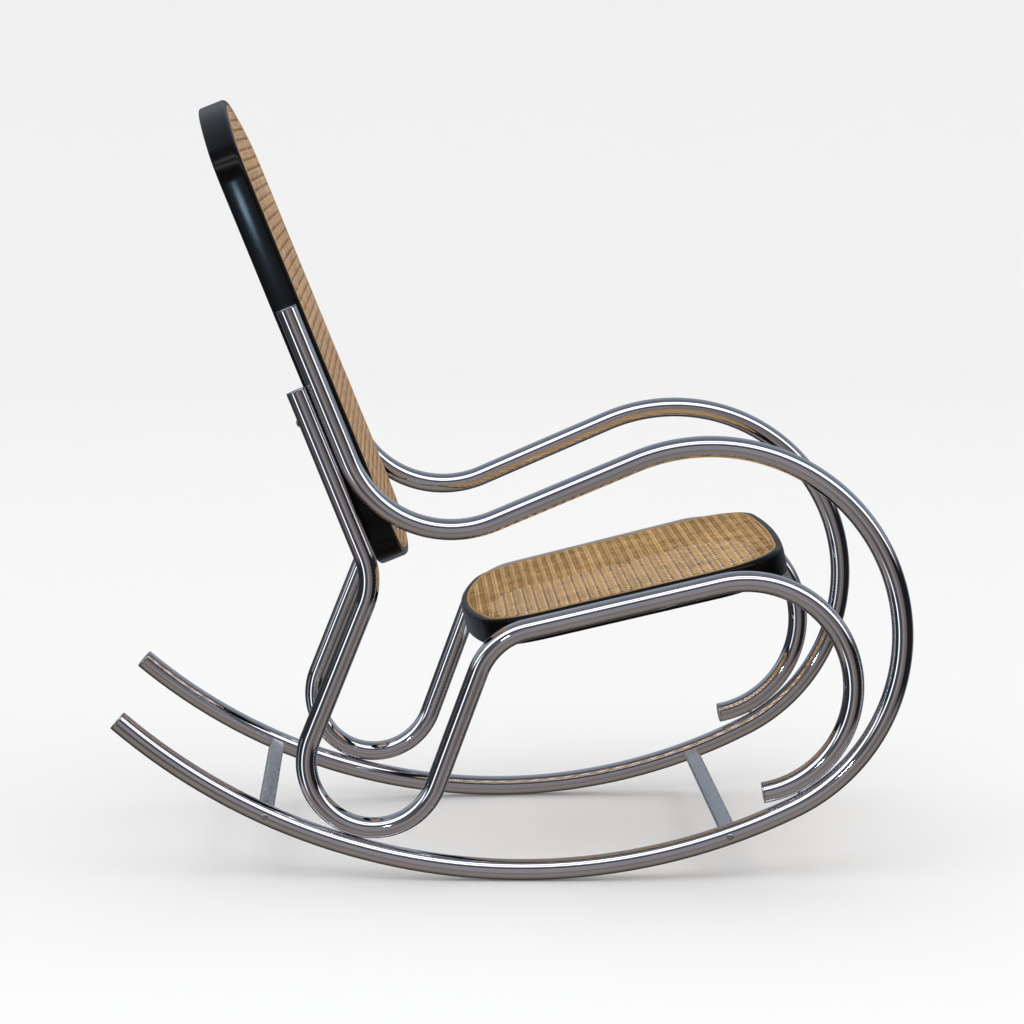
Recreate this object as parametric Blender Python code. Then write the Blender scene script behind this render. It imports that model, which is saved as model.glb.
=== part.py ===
"""Cantilever rocking chair: two bent chromed tubes a side, caned seat and back.

Frame: metres, +Z up, floor at Z = 0, the sitter faces -Y, mirror plane X = 0.
Each side frame is planar. Inside it a point is (v, z): v runs forward from the
frame's own origin and z is the height above the floor. A heading is an angle
in that plane, counted from straight ahead towards up.
"""
import math

import bmesh
import bpy
from mathutils import Matrix, Vector

# ---------------------------------------------------------------- dimensions
TUBE = 0.0254               # outer diameter of every bent tube, one inch
WALL = 0.0015
GAP = 0.0003                # clearance kept between pieces that touch
SIDES = 12                  # flats round a tube, each one tangent to the round
BORE_SIDES = 6

HALF_WIDTH = 0.2270         # centre plane to side frame, at the frame's origin
SPLAY = math.radians(2.829)  # each side frame opens forwards by this angle
ORIGIN_Y = 0.1456           # sets the footprint's centre on Y = 0

ROCKER_RADIUS = 0.7334
ROCKER_LOW = 0.1580         # v of the rocker's lowest point
ROCKER_TAIL = 41.30         # degrees of rocker behind the lowest point
ROCKER_NOSE = 26.57         # and in front of it
TAIL_FACETS = 13            # the last of these lies flat on the floor
NOSE_FACETS = 7
FRONT_RADIUS = 0.2299       # big front loop of the outer tube
FRONT_TURN = 176.38
ARM_RUN = 0.1818            # straight part of the armrest
ARM_RADIUS = 0.1309
UPRIGHT_RUN = 0.1949        # straight upright that carries the back
LEAN = 111.85               # heading of the upright

INNER_TOP = 0.1006          # the inner tube's top, along the outer upright
INNER_RUN = 0.2116          # its straight part behind the outer upright
KNEE_RADIUS = 0.0814
KNEE_TURN = 43.78
LEG_RUN = 0.1735
U_RADIUS = 0.0801           # bend that stands on the rocker
U_TURN = 181.59
SHIN_RUN = 0.1471
RAIL_BEND_RADIUS = 0.0827
RAIL_PITCH = 13.34          # heading of the seat rail
RAIL_RUN = 0.2379
SEAT_LOOP_RADIUS = 0.1291
SEAT_LOOP_TURN = 183.755

UPRIGHT_BOLT = 0.0630       # joins the two uprights, this far up the outer one
SEAT_LOOP_SCREW = 3.6       # degrees of front loop past the rocker's nose

PLUG_CAP = 0.0016
PLUG_DEPTH = 0.0070

STRETCHER_WIDTH = 0.0200
STRETCHER_THICKNESS = 0.0070
STRETCHER_ANGLES = {"front": 20.0, "rear": -24.8}   # round the rocker

RIM = 0.0078                # black edge outside the groove
GROOVE = 0.0060
RING = 0.0265               # whole width of the wooden frame
GROOVE_DEPTH = 0.0060
CANE = 0.0012
SPLINE = 0.0040
SPLINE_CROWN = 0.0006
HOOK = 0.0011               # the cane's edge, turned down into the groove

SCREW_RADIUS = 0.0020
HEAD_RADIUS = 0.0042
HEAD_HEIGHT = 0.0020
SUNK = 0.0072               # a sunk head's face, this far past the tube's axis
GRIP = 0.0080               # length of thread past the second tube's surface
STUD_RADIUS = 0.0030
STUD_IN_WOOD = 0.0180
STUD_IN_TUBE = 0.0045

RADIUS = TUBE / 2
TIP_RADIUS = RADIUS / math.cos(math.pi / SIDES)
ROCKER_STEP = ROCKER_TAIL / (TAIL_FACETS - 0.5)


# ------------------------------------------------------------------ geometry
def ahead(heading):
    """Unit vector along a heading, in a side frame's own axes."""
    return Vector((0, -math.cos(heading), math.sin(heading)))


def left_of(heading):
    """Unit vector square to a heading, on its left (its upper side)."""
    return Vector((0, math.sin(heading), math.cos(heading)))


def in_frame(v, z):
    return Vector((0, -v, z))


def rocker_centre():
    """Centre of the rocker arc; one facet lies flat on the floor."""
    height = (ROCKER_RADIUS + RADIUS) * math.cos(math.radians(ROCKER_STEP / 2))
    return in_frame(ROCKER_LOW, height)


def on_rocker(angle):
    """Point on the rocker's centre line, angle degrees ahead of the lowest."""
    return rocker_centre() - ROCKER_RADIUS * left_of(math.radians(angle))


def walk(start, heading, runs):
    """Ends of the runs of a bent tube as (point, heading) pairs."""
    place = start.copy()
    course = math.radians(heading)
    stops = [(place.copy(), course)]
    for length, turn, _ in runs:
        angle = math.radians(turn)
        if turn:
            centre = place + math.copysign(length, turn) * left_of(course)
            place = centre + Matrix.Rotation(-angle, 3, "X") @ (place - centre)
            course += angle
        else:
            place = place + length * ahead(course)
        stops.append((place.copy(), course))
    return stops


def outer_path():
    """Rocker, front loop, armrest and upright: (radius or length, turn, steps)."""
    arm_turn = ROCKER_NOSE + FRONT_TURN - LEAN
    tail_turn = TAIL_FACETS * ROCKER_STEP
    runs = [
        (ROCKER_RADIUS, tail_turn, TAIL_FACETS),
        (ROCKER_RADIUS, ROCKER_TAIL + ROCKER_NOSE - tail_turn, NOSE_FACETS),
        (FRONT_RADIUS, FRONT_TURN, 22),
        (ARM_RUN, 0, 1),
        (ARM_RADIUS, -arm_turn, 9),
        (UPRIGHT_RUN, 0, 1),
    ]
    return on_rocker(-ROCKER_TAIL), -ROCKER_TAIL, runs


def upright_foot():
    """Point where the armrest's bend ends and the straight upright starts."""
    return walk(*outer_path())[-2][0]


def inner_path():
    """Upright, knee, U bend on the rocker, seat rail and front seat loop."""
    lean = math.radians(LEAN)
    behind = (TUBE + GAP) * left_of(lean)
    start = upright_foot() + INNER_TOP * ahead(lean) + behind
    rail_bend = LEAN - 180 - KNEE_TURN + U_TURN - RAIL_PITCH
    runs = [
        (INNER_RUN, 0, 1),
        (KNEE_RADIUS, -KNEE_TURN, 4),
        (LEG_RUN, 0, 1),
        (U_RADIUS, U_TURN, 18),
        (SHIN_RUN, 0, 1),
        (RAIL_BEND_RADIUS, -rail_bend, 6),
        (RAIL_RUN, 0, 1),
        (SEAT_LOOP_RADIUS, -SEAT_LOOP_TURN, 18),
    ]
    return start, LEAN - 180, runs


def rail_start():
    return walk(*inner_path())[6][0]


def shorten(start, heading, runs, trim):
    """The same path with both ends cut back, to leave room for end plugs."""
    first = cut_back(runs[0], trim)
    last = cut_back(runs[-1], trim)
    piece = (runs[0][0], runs[0][1] - first[1], 1) if runs[0][1] else (trim, 0, 1)
    place, course = walk(start, heading, [piece])[-1]
    return place, math.degrees(course), [first, *runs[1:-1], last]


def cut_back(run, trim):
    """One run made shorter by a length trim."""
    length, turn, steps = run
    if not turn:
        return length - trim, turn, steps
    return length, turn - math.copysign(math.degrees(trim / length), turn), steps


def inside_width(forward):
    """Centre plane to the inner flats of the side frames, at a forward place."""
    return HALF_WIDTH + forward * math.tan(SPLAY) - RADIUS / math.cos(SPLAY) - GAP


# ------------------------------------------------------------- mesh building
def finish_mesh(bm, name, material, parent=None, bevel_angle=40):
    """Turn a bmesh into a named object with outward faces."""
    bmesh.ops.recalc_face_normals(bm, faces=bm.faces)
    mesh = bpy.data.meshes.new(name)
    bm.to_mesh(mesh)
    bm.free()
    mesh.shade_smooth()
    mesh.set_sharp_from_angle(angle=math.radians(bevel_angle))
    obj = bpy.data.objects.new(name, mesh)
    obj.data.materials.append(material)
    bpy.context.collection.objects.link(obj)
    obj.parent = parent
    return obj


def stations(start, heading, runs):
    """Points along a path with their headings, one at each facet's end."""
    places = [(start.copy(), math.radians(heading))]
    for length, turn, steps in runs:
        share = [(length if turn else length / steps, turn / steps, 1)] * steps
        place, course = places[-1]
        places += walk(place, math.degrees(course), share)[1:]
    return places


def tube_loop(bm, place, course, radius, count):
    """Loop of vertices round a tube, square to its heading.

    Every loop starts at the same angle, where the outer polygon has a corner.
    """
    loop = []
    for index in range(count):
        angle = math.pi / SIDES + 2 * math.pi * index / count
        across = Vector((math.sin(angle), 0, 0))
        offset = radius * (math.cos(angle) * left_of(course) + across)
        loop.append(bm.verts.new(place + offset))
    return loop


def annulus(bm, outer, inner):
    """Flat end face between a loop and one with half as many vertices."""
    for index, vert in enumerate(inner):
        near = outer[2 * index + 1]
        far = outer[(2 * index + 2) % len(outer)]
        bm.faces.new((outer[2 * index], near, vert))
        bm.faces.new((near, far, inner[(index + 1) % len(inner)], vert))


def bore_tip_radius():
    """Corner radius of the six-sided bore that leaves the real tube's metal."""
    metal = math.pi * (RADIUS ** 2 - (RADIUS - WALL) ** 2)
    whole = SIDES * RADIUS ** 2 * math.tan(math.pi / SIDES)
    corner = math.sin(2 * math.pi / BORE_SIDES)
    return math.sqrt(2 * (whole - metal) / (BORE_SIDES * corner))


def bent_tube(name, path, material, parent):
    """Hollow tube with open ends along a path of straight and curved runs."""
    places = stations(*shorten(*path, PLUG_CAP + GAP))
    bore = bore_tip_radius()
    bm = bmesh.new()
    outer = [tube_loop(bm, *place, TIP_RADIUS, SIDES) for place in places]
    inner = [tube_loop(bm, *place, bore, BORE_SIDES) for place in places]
    skin_loops(bm, outer)
    skin_loops(bm, inner)
    annulus(bm, outer[0], inner[0])
    annulus(bm, outer[-1], inner[-1])
    return finish_mesh(bm, name, material, parent)


def turned(name, profile, count, place, axis, material, parent):
    """Solid of revolution: profile is (distance along axis, radius) pairs."""
    turn = axis.to_track_quat("Z", "X").to_matrix()
    bm = bmesh.new()
    loops = []
    for along, radius in profile:
        loop = []
        for index in range(count):
            angle = 2 * math.pi * (index + 0.5) / count
            local = Vector((radius * math.cos(angle), radius * math.sin(angle), along))
            loop.append(bm.verts.new(place + turn @ local))
        loops.append(loop)
    skin_loops(bm, loops)
    bm.faces.new(loops[0])
    bm.faces.new(loops[-1])
    return finish_mesh(bm, name, material, parent)


def skin_loops(bm, loops, closed=False):
    """Quads between neighbouring loops of the same number of vertices."""
    count = len(loops[0])
    pairs = list(zip(loops, loops[1:]))
    if closed:
        pairs.append((loops[-1], loops[0]))
    for low, high in pairs:
        for index in range(count):
            after = (index + 1) % count
            bm.faces.new((low[index], low[after], high[after], high[index]))


def drills(name, bores, parent):
    """Cutter made of round bores, each (start, direction, length, radius)."""
    bm = bmesh.new()
    for start, direction, length, radius in bores:
        turn = direction.to_track_quat("Z", "Y").to_matrix().to_4x4()
        middle = start + direction.normalized() * length / 2
        bmesh.ops.create_cone(
            bm, cap_ends=True, segments=8, radius1=radius, radius2=radius,
            depth=length, matrix=Matrix.Translation(middle) @ turn,
        )
    cutter = finish_mesh(bm, name, MATERIALS["steel"], parent)
    cutter.hide_render = True
    cutter.display_type = "WIRE"
    return cutter


def cut(obj, cutter):
    modifier = obj.modifiers.new("bores", "BOOLEAN")
    modifier.operation = "DIFFERENCE"
    modifier.object = cutter
    modifier.solver = "EXACT"


# ----------------------------------------------------------------- materials
def principled(name, colour, roughness, metallic):
    material = bpy.data.materials.new(name)
    material.use_nodes = True
    material.diffuse_color = (*colour, 1)
    shader = material.node_tree.nodes["Principled BSDF"]
    shader.inputs["Base Color"].default_value = (*colour, 1)
    shader.inputs["Roughness"].default_value = roughness
    shader.inputs["Metallic"].default_value = metallic
    return material


def make_materials():
    return {
        "chrome": principled("chrome", (0.80, 0.81, 0.83), 0.06, 1.0),
        "steel": principled("zinc_steel", (0.55, 0.56, 0.58), 0.35, 1.0),
        "satin": principled("satin_chrome", (0.62, 0.64, 0.67), 0.30, 1.0),
        "lacquer": principled("black_lacquer", (0.012, 0.012, 0.013), 0.25, 0.0),
        "seat_cane": principled("seat_cane", (0.60, 0.36, 0.13), 0.50, 0.0),
        "back_cane": principled("back_cane", (0.55, 0.36, 0.20), 0.55, 0.0),
        "spline": principled("cane_spline", (0.62, 0.45, 0.25), 0.45, 0.0),
    }


# ---------------------------------------------------------------- side frame
def end_plug(name, place, outward, parent):
    """Flat-faced plug: a cap flush with the tube and a shank in its bore."""
    shank = bore_tip_radius() * math.cos(math.pi / BORE_SIDES) - 2 * GAP
    profile = [
        (-PLUG_CAP - PLUG_DEPTH, shank - 0.001),
        (-PLUG_CAP - PLUG_DEPTH + 0.001, shank),
        (-PLUG_CAP, shank),
        (-PLUG_CAP, TIP_RADIUS),
        (-0.0004, TIP_RADIUS),
        (0, TIP_RADIUS - 0.0004),
    ]
    return turned(name, profile, SIDES, place, outward, MATERIALS["chrome"], parent)


def screw(name, seat, inward, length, parent):
    """Domed-head screw whose head sits on a flat at seat and points inward."""
    profile = [
        (-HEAD_HEIGHT - GAP, HEAD_RADIUS * 0.45),
        (-HEAD_HEIGHT * 0.55 - GAP, HEAD_RADIUS * 0.85),
        (-GAP, HEAD_RADIUS),
        (-GAP, SCREW_RADIUS),
        (length - SCREW_RADIUS * 0.5, SCREW_RADIUS),
        (length, SCREW_RADIUS * 0.5),
    ]
    return turned(name, profile, 8, seat, inward, MATERIALS["steel"], parent)


def screw_bore(seat, inward, length):
    """Clearance bore for a screw, a little longer at both ends."""
    play = 0.0005
    radius = (SCREW_RADIUS + GAP) / math.cos(math.pi / 8)
    return seat - play * inward, inward, length + 2 * play, radius


def open_screws(side):
    """Screws with their heads on the outside: name, seat, direction, length."""
    out = Vector((side, 0, 0))
    lean = math.radians(LEAN)
    places = {}
    for end, angle in STRETCHER_ANGLES.items():
        seat = on_rocker(angle) + RADIUS * out
        places[f"{end}_stretcher_screw"] = (seat, -out, TUBE + 2 * GRIP)
    behind = upright_foot() + UPRIGHT_BOLT * ahead(lean) + (TUBE + GAP + RADIUS) * left_of(lean)
    places["upright_bolt"] = (behind, -left_of(lean), TUBE + GRIP)
    return places


def sunk_screws():
    """Screws whose heads sit inside the outer tube: name, tube axis, direction."""
    bend_start, course = walk(*inner_path())[3]
    bend_centre = bend_start + U_RADIUS * left_of(course)
    down = (bend_centre - rocker_centre()).normalized()
    nose = math.radians(ROCKER_NOSE)
    front_centre = on_rocker(ROCKER_NOSE) + FRONT_RADIUS * left_of(nose)
    loop_up = left_of(nose + math.radians(SEAT_LOOP_SCREW))
    return {
        "rocker_bend_screw": (rocker_centre() + ROCKER_RADIUS * down, -down),
        "seat_loop_screw": (front_centre - FRONT_RADIUS * loop_up, loop_up),
    }


def access_bore(axis, inward):
    """Hole in the tube's underside, wide enough for the screw's head."""
    return axis - (RADIUS + 0.002) * inward, inward, RADIUS, HEAD_RADIUS + GAP


def stud_places(side):
    """Studs from the tubes into the wooden frames: name, place, direction."""
    inward = Vector((-side, 0, 0))
    rail = math.radians(RAIL_PITCH)
    lean = math.radians(LEAN)
    places = {}
    for end, along in (("rear", 0.075), ("front", 0.205)):
        places[f"seat_stud_{end}"] = rail_start() + along * ahead(rail)
    for end, along in (("lower", 0.040), ("upper", 0.150)):
        places[f"back_stud_{end}"] = upright_foot() + along * ahead(lean)
    return {name: (place + RADIUS * inward, inward) for name, place in places.items()}


def stud(name, wall, inward, parent):
    """Plain stud through the tube's inner wall, half in the wood."""
    profile = [
        (-STUD_IN_TUBE, STUD_RADIUS * 0.7),
        (-STUD_IN_TUBE + 0.001, STUD_RADIUS),
        (STUD_IN_WOOD - 0.001, STUD_RADIUS),
        (STUD_IN_WOOD, STUD_RADIUS * 0.7),
    ]
    return turned(name, profile, 8, wall, inward, MATERIALS["steel"], parent)


def stud_bore(wall, inward):
    radius = (STUD_RADIUS + GAP) / math.cos(math.pi / 8)
    return wall - STUD_IN_TUBE * inward, inward, STUD_IN_TUBE + STUD_IN_WOOD + GAP, radius


def side_frame(label, side):
    """Both tubes of one side, their plugs, screws and studs."""
    frame = bpy.data.objects.new(f"{label}_side_frame", None)
    frame.location = (side * HALF_WIDTH, ORIGIN_Y, 0)
    frame.rotation_euler = (0, 0, side * SPLAY)
    bpy.context.collection.objects.link(frame)
    outer = bent_tube(f"{label}_outer_tube", outer_path(), MATERIALS["chrome"], frame)
    inner = bent_tube(f"{label}_inner_tube", inner_path(), MATERIALS["chrome"], frame)
    plugs = (
        ("rocker_plug", outer_path(), 0),
        ("upright_plug", outer_path(), -1),
        ("inner_tube_plug", inner_path(), 0),
        ("seat_loop_plug", inner_path(), -1),
    )
    for name, path, end in plugs:
        place, course = walk(*path)[end]
        outward = ahead(course) if end else -ahead(course)
        end_plug(f"{label}_{name}", place, outward, frame)
    sunk = sunk_screws()
    screws = open_screws(side)
    for name, (axis, inward) in sunk.items():
        screws[name] = (axis + SUNK * inward, inward, RADIUS - SUNK + GRIP)
    for name, (seat, inward, length) in screws.items():
        screw(f"{label}_{name}", seat, inward, length, frame)
    studs = stud_places(side)
    for name, (wall, inward) in studs.items():
        stud(f"{label}_{name}", wall, inward, frame)
    screw_bores = [screw_bore(*place) for place in screws.values()]
    access_bores = [access_bore(*place) for place in sunk.values()]
    stud_bores = [stud_bore(*place) for place in studs.values()]
    bores = drills(f"{label}_bores", screw_bores + access_bores + stud_bores, frame)
    cut(outer, bores)
    cut(inner, bores)
    return bores


# ------------------------------------------------------- stretchers and panels
def taper(bm, origin, heading, half_width):
    """Fit a piece between the splayed side frames.

    The piece is drawn with straight sides at half_width; every vertex is then
    moved sideways in proportion to the room at its forward place.
    """
    for vert in bm.verts:
        forward = -origin.y - vert.co.y * math.cos(heading) - vert.co.z * math.sin(heading)
        vert.co.x *= inside_width(forward) / half_width


def panel_empty(name, origin, heading):
    """Empty at a side-frame point, X across, -Y along heading, Z its upper side."""
    empty = bpy.data.objects.new(name, None)
    empty.location = (0, ORIGIN_Y + origin.y, origin.z)
    empty.rotation_euler = (-heading, 0, 0)
    bpy.context.collection.objects.link(empty)
    return empty


def stretcher(label, angle, bores):
    """Flat bar with round edges between the rockers."""
    origin = on_rocker(angle)
    heading = math.radians(angle)
    parent = panel_empty(f"{label}_stretcher_place", origin, heading)
    half = STRETCHER_THICKNESS / 2
    flat = STRETCHER_WIDTH / 2 - half
    steps = 4
    bm = bmesh.new()
    loops = []
    for x in (-HALF_WIDTH, HALF_WIDTH):
        loop = []
        for centre, first in ((flat, -90), (-flat, 90)):
            for index in range(steps + 1):
                angle_here = math.radians(first + 180 * index / steps)
                y = centre + half * math.cos(angle_here)
                loop.append(bm.verts.new((x, y, half * math.sin(angle_here))))
        loops.append(loop)
    skin_loops(bm, loops)
    bm.faces.new(loops[0])
    bm.faces.new(loops[1])
    taper(bm, origin, heading, HALF_WIDTH)
    bar = finish_mesh(bm, f"{label}_stretcher", MATERIALS["satin"], parent)
    for cutter in bores:
        cut(bar, cutter)
    return bar


def end_arcs(half_width, end, bow, corner, inset):
    """Half outline of one panel end, from its middle to its straight side.

    The end is bowed with radius bow, and a corner arc joins the bow to the
    side at half_width. Gives (x, distance from the panel's origin) points.
    """
    bow_centre = end - bow
    corner_x = half_width - corner
    corner_s = bow_centre + math.sqrt((bow - corner) ** 2 - corner_x ** 2)
    meet = math.atan2(corner_x, corner_s - bow_centre)
    points = []
    for index in range(3):
        angle = meet * index / 3
        radius = bow - inset
        points.append((radius * math.sin(angle), bow_centre + radius * math.cos(angle)))
    for index in range(6):
        angle = meet + (math.pi / 2 - meet) * index / 5
        radius = corner - inset
        points.append((corner_x + radius * math.sin(angle), corner_s + radius * math.cos(angle)))
    return points


def panel_outline(shape, inset):
    """Closed outline of a panel, inset evenly from its edge."""
    half_width = shape["half_width"]
    front = end_arcs(half_width, shape["front"], *shape["front_arcs"], inset)
    rear = end_arcs(half_width, shape["rear"], *shape["rear_arcs"], inset)
    right = front + [(x, -s) for x, s in reversed(rear)]
    left = [(-x, s) for x, s in reversed(right[1:-1])]
    return right + left


def panel_loops(bm, shape, profile):
    """One loop of vertices for each (inset, height) of a profile."""
    loops = []
    for inset, height in profile:
        outline = panel_outline(shape, inset)
        loops.append([bm.verts.new((x, -s, height)) for x, s in outline])
    return loops


def panel_ring(name, shape, profile, material, parent):
    """Ring with a closed cross-section, swept round the panel's outline."""
    bm = bmesh.new()
    skin_loops(bm, panel_loops(bm, shape, profile), closed=True)
    taper(bm, shape["origin"], shape["heading"], shape["half_width"])
    return finish_mesh(bm, name, material, parent)


def wooden_frame(label, shape, parent, bores):
    """Bentwood ring with rounded edges and a groove for the cane."""
    top = shape["top"]
    low = shape["top"] - shape["thickness"]
    lip = top - CANE - GAP
    profile = [
        (0, low + 0.003), (0, top - 0.004), (0.0012, top - 0.0012), (0.004, top),
        (RIM, top), (RIM, top - GROOVE_DEPTH),
        (RIM + GROOVE, top - GROOVE_DEPTH), (RIM + GROOVE, lip),
        (RING - 0.002, lip), (RING, lip - 0.002), (RING, low + 0.002),
        (RING - 0.002, low), (0.003, low),
    ]
    ring = panel_ring(f"{label}_frame", shape, profile, MATERIALS["lacquer"], parent)
    for cutter in bores:
        cut(ring, cutter)
    return ring


def spline(label, shape, parent):
    """Cane reed driven into the groove over the edge of the weave."""
    top = shape["top"]
    first = RIM + GAP
    last = first + SPLINE
    low = top - GROOVE_DEPTH + GAP
    profile = [
        (first, low), (last, low), (last, top - 0.0002),
        (last - 0.001, top + SPLINE_CROWN), (first + 0.001, top + SPLINE_CROWN),
        (first, top - 0.0002),
    ]
    return panel_ring(f"{label}_spline", shape, profile, MATERIALS["spline"], parent)


def cane_sheet(label, shape, parent):
    """Woven cane as a thin sheet whose edge turns down into the groove."""
    top = shape["top"]
    inner = RIM + GROOVE - GAP
    outer = inner - HOOK
    hook = top - GROOVE_DEPTH + 0.0005
    bm = bmesh.new()
    profile = [(outer, top), (outer, hook), (inner, hook), (inner, top - CANE)]
    loops = panel_loops(bm, shape, profile)
    skin_loops(bm, loops)
    bm.faces.new(loops[0])
    bm.faces.new(loops[-1])
    taper(bm, shape["origin"], shape["heading"], shape["half_width"])
    return finish_mesh(bm, f"{label}_cane", MATERIALS[f"{label}_cane"], parent)


def seat_shape():
    return {
        "origin": rail_start(), "heading": math.radians(RAIL_PITCH),
        "half_width": 0.2290, "top": 0.0136, "thickness": 0.0326,
        "front": 0.3341, "front_arcs": (1.665, 0.1009),
        "rear": 0.0728, "rear_arcs": (0.720, 0.0740),
    }


def back_shape():
    """The back faces forwards, so its front end is the bottom of the chair's back."""
    return {
        "origin": upright_foot(), "heading": math.radians(LEAN - 180),
        "half_width": 0.2115, "top": 0.0173, "thickness": 0.0346,
        "front": 0.1542, "front_arcs": (0.620, 0.0780),
        "rear": 0.4519, "rear_arcs": (0.355, 0.0520),
    }


def caned_panel(label, shape, bores):
    parent = panel_empty(f"{label}_place", shape["origin"], shape["heading"])
    wooden_frame(label, shape, parent, bores)
    cane_sheet(label, shape, parent)
    spline(label, shape, parent)


# ---------------------------------------------------------------------- build
def clear_scene():
    for obj in list(bpy.data.objects):
        bpy.data.objects.remove(obj, do_unlink=True)


clear_scene()
MATERIALS = make_materials()
BORES = [side_frame("right", -1), side_frame("left", 1)]
for LABEL, ANGLE in STRETCHER_ANGLES.items():
    stretcher(LABEL, ANGLE, BORES)
caned_panel("seat", seat_shape(), BORES)
caned_panel("back", back_shape(), BORES)
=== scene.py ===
"""Looks of the cantilever rocking chair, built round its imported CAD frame.

Frame: metres, +Z up, floor at Z = 0, the sitter faces -Y, mirror plane X = 0.
Each side frame is planar. Inside it a point is (v, z): v runs forward from the
frame's own origin and z is the height above the floor. A heading is an angle
in that plane, counted from straight ahead towards up.
"""
import math

import bmesh
import bpy
import numpy as np
from mathutils import Matrix, Vector


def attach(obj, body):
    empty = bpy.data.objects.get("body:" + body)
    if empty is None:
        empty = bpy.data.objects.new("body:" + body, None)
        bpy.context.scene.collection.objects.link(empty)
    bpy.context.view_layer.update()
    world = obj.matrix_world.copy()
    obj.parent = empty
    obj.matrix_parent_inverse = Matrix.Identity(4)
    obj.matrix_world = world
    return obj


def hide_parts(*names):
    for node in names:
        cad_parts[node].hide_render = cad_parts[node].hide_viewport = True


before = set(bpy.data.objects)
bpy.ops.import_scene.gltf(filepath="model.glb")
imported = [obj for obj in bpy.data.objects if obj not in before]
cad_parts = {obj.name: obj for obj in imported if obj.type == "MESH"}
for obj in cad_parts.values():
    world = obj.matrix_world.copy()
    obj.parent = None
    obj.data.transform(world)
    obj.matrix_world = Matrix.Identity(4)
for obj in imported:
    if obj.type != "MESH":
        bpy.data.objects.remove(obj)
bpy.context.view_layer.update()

# ------------------------------------------- dimensions shared with the CAD
TUBE = 0.0254
WALL = 0.0015
GAP = 0.0003
HALF_WIDTH = 0.2270
SPLAY = math.radians(2.829)
ORIGIN_Y = 0.1456

ROCKER_RADIUS = 0.7334
ROCKER_LOW = 0.1580
ROCKER_TAIL = 41.30
ROCKER_NOSE = 26.57
FRONT_RADIUS = 0.2299
FRONT_TURN = 176.38
ARM_RUN = 0.1818
ARM_RADIUS = 0.1309
UPRIGHT_RUN = 0.1949
LEAN = 111.85

INNER_TOP = 0.1006
INNER_RUN = 0.2116
KNEE_RADIUS = 0.0814
KNEE_TURN = 43.78
LEG_RUN = 0.1735
U_RADIUS = 0.0801
U_TURN = 181.59
SHIN_RUN = 0.1471
RAIL_BEND_RADIUS = 0.0827
RAIL_PITCH = 13.34
RAIL_RUN = 0.2379
SEAT_LOOP_RADIUS = 0.1291
SEAT_LOOP_TURN = 183.755

UPRIGHT_BOLT = 0.0630
SEAT_LOOP_SCREW = 3.6
PLUG_CAP = 0.0016

STRETCHER_WIDTH = 0.0200
STRETCHER_THICKNESS = 0.0070
STRETCHER_ANGLES = {"front": 20.0, "rear": -24.8}

RIM = 0.0078
GROOVE = 0.0060
RING = 0.0265
GROOVE_DEPTH = 0.0060
CANE = 0.0012
SPLINE = 0.0040

SCREW_RADIUS = 0.0020
HEAD_RADIUS = 0.0042
HEAD_HEIGHT = 0.0020
HEX_RECESS = (0.0015, 0.0011)     # radius and depth
SUNK = 0.0072

RADIUS = TUBE / 2
ROCKER_STEP = ROCKER_TAIL / 12.5  # the CAD rocker's facets, in degrees

# ---------------------------------------------------------- visual resolution
TUBE_SIDES = 64
SCREW_SIDES = 36
HOLE_SIDES = 40
ARC_STEP = 1.5              # degrees between the stations of a bend
STRAIGHT_STEPS = 3          # stations along a straight run
BOW_STEPS = 12              # points of a panel's gently bowed end
CORNER_STEPS = 30           # segments of a panel's corner
SIDE_STEPS = 8              # segments of a panel's side
FILLET_STEPS = 5
EDGE_STEPS = 16             # segments of a stretcher's half-round edge
BAR_STEPS = 12              # segments along a stretcher

# ------------------------------------------------------------- worn, soft edges
TUBE_EDGE = 0.0003          # broken edge at a tube's cut ends
STRETCHER_EDGE = 0.0006
PLUG_BEVEL = 0.0007
PLUG_BORE = 0.0086          # radius of a plug's stem, inside the tube
PLUG_DEPTH = 0.0086
FRAME_BOTTOM_EDGE = 0.0030
FRAME_TOP_EDGE = 0.0058
FRAME_INNER_EDGE = 0.0020
SETTLE_SHARE = 1.05         # keeps the whole smooth rocker just off the floor

# ---------------------------------------------------------------- cane weave
WEAVE = 0.0127              # half-inch webbing
PAIR = 0.00140              # half the distance between the strands of a pair
STRAND = 0.0023             # width of a straight strand
BINDER = 0.0027             # width of a diagonal strand
STRAND_THICKNESS = 0.00062
WEAVE_STEPS = 8             # samples along a strand per repeat
STRAND_WANDER = 0.00018     # how far a strand strays from its place
TONE_SPREAD = 0.20          # how far a strand's lightness strays
TUCK = 0.0012               # length over which a strand dives into the groove
DIVE = 0.0050


# ------------------------------------------------------------------ geometry
def ahead(heading):
    return Vector((0, -math.cos(heading), math.sin(heading)))


def left_of(heading):
    return Vector((0, math.sin(heading), math.cos(heading)))


def rocker_centre():
    """Centre of the rocker arc; the CAD has one facet flat on the floor."""
    height = (ROCKER_RADIUS + RADIUS) * math.cos(math.radians(ROCKER_STEP / 2))
    return Vector((0, -ROCKER_LOW, height))


def on_rocker(angle):
    return rocker_centre() - ROCKER_RADIUS * left_of(math.radians(angle))


def walk(start, heading, runs):
    """Ends of the runs of a bent tube as (point, heading) pairs."""
    place = start.copy()
    course = math.radians(heading)
    stops = [(place.copy(), course)]
    for length, turn in runs:
        angle = math.radians(turn)
        if turn:
            centre = place + math.copysign(length, turn) * left_of(course)
            place = centre + Matrix.Rotation(-angle, 3, "X") @ (place - centre)
            course += angle
        else:
            place = place + length * ahead(course)
        stops.append((place.copy(), course))
    return stops


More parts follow.
